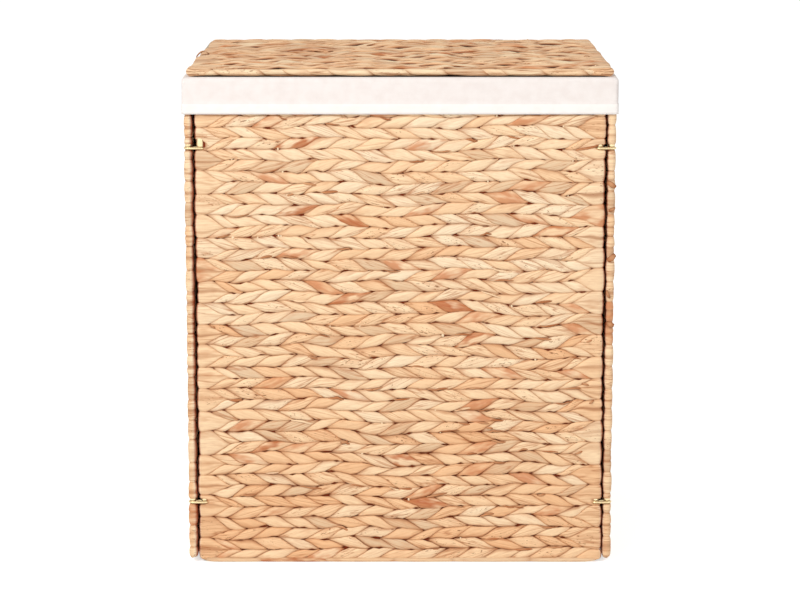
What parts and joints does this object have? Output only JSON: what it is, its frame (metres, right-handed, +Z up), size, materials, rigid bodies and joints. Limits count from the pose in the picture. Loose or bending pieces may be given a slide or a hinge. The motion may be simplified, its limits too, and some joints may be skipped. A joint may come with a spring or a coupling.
{
  "type": "laundry basket",
  "caption": "Rectangular woven laundry hamper: strand-wrapped wire panels linked by wire rings, with a hinged flat lid, a hinged base and a cloth liner cuffed over the rim.",
  "frame": {"origin": "middle of the footprint on the floor", "axes": "+Z up, -Y towards the front wall, +X to the right seen from the front"},
  "size_m": [0.461, 0.36, 0.537],
  "materials": {
    "wall_weave": "matte dried leaf strands",
    "lid_weave": "matte dried leaf strands",
    "frame_wire": "plain drawn wire",
    "ring_wire": "pale plated wire",
    "liner_cloth": "plain off-white cotton"
  },
  "bodies": {
    "walls": {"front_frame": "frame_wire", "front_weave": "wall_weave", "back_frame": "frame_wire", "back_weave": "wall_weave", "left_frame": "frame_wire", "left_weave": "wall_weave", "left_grip": "wall_weave", "right_frame": "frame_wire", "right_weave": "wall_weave", "right_grip": "wall_weave", "ring_front_left_low": "ring_wire", "ring_front_left_high": "ring_wire", "ring_front_right_low": "ring_wire", "ring_front_right_high": "ring_wire", "ring_back_left_low": "ring_wire", "ring_back_left_high": "ring_wire", "ring_back_right_low": "ring_wire", "ring_back_right_high": "ring_wire", "base_ring_left": "ring_wire", "base_ring_right": "ring_wire", "liner": "liner_cloth"},
    "lid_rings": {"lid_ring_left": "ring_wire", "lid_ring_right": "ring_wire"},
    "lid": {"lid_frame": "frame_wire", "lid_weave": "lid_weave"},
    "base": {"base_frame": "frame_wire", "base_weave": "wall_weave"}
  },
  "joints": [
    {"name": "lid_ring_swing", "type": "hinge", "parent": "walls", "child": "lid_rings", "pos_m": [0, 0.17325, 0.52075], "axis": [-1, 0, 0], "range_deg": [0, 88]},
    {"name": "lid_swing", "type": "hinge", "parent": "lid_rings", "child": "lid", "pos_m": [0, 0.17325, 0.53205], "axis": [-1, 0, 0], "range_deg": [0, 176]},
    {"name": "base_flap", "type": "hinge", "parent": "walls", "child": "base", "pos_m": [0, 0.16125, 0.0057], "axis": [-1, 0, 0], "range_deg": [0, 90], "deforming": ["liner"]}
  ],
  "couplings": [
    {"joint": "lid_ring_swing", "follows": "lid_swing", "ratio": 0.5}
  ]
}
